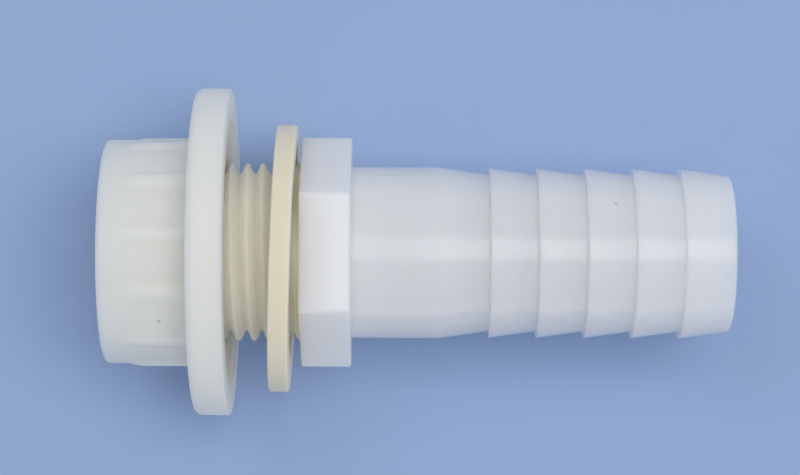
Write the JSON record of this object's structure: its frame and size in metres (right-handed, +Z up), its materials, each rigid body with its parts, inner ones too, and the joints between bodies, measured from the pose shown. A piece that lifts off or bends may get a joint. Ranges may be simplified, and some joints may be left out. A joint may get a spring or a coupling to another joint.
{
  "type": "thru hull fitting",
  "caption": "Plastic thru hull fitting: barbed hose tail with hexagon and male pipe thread, a ribbed collar nut with a wide flange, and a soft sealing washer between them",
  "frame": {"origin": "on the centre line of the fitting, in the plane of the flange face that lies against the hull", "axes": "+X along the centre line towards the free end of the hose tail, +Y across it, +Z up with two flats of the hexagon facing up and down"},
  "size_m": [0.0735, 0.0386, 0.0386],
  "materials": {
    "nylon_nut": "natural translucent nylon, satin",
    "nylon_tail": "natural translucent nylon, satin",
    "washer_rubber": "cream, dull"
  },
  "bodies": {
    "nut": {"flanged_nut": "nylon_nut"},
    "washer": {"sealing_washer": "washer_rubber"},
    "tail": {"hose_tail": "nylon_tail"}
  },
  "joints": [
    {"name": "washer_travel", "type": "slide", "parent": "nut", "child": "washer", "axis": [1, 0, 0], "range_m": [-0.00408, 0.00634]},
    {"name": "tail_screw", "type": "hinge", "parent": "washer", "child": "tail", "pos_m": [0.03, 0, 0], "axis": [1, 0, 0], "range_deg": [-810.5, 1260.5]}
  ],
  "couplings": [
    {"joint": "tail_screw", "follows": "washer_travel", "rad_per_m": 3463.7}
  ]
}
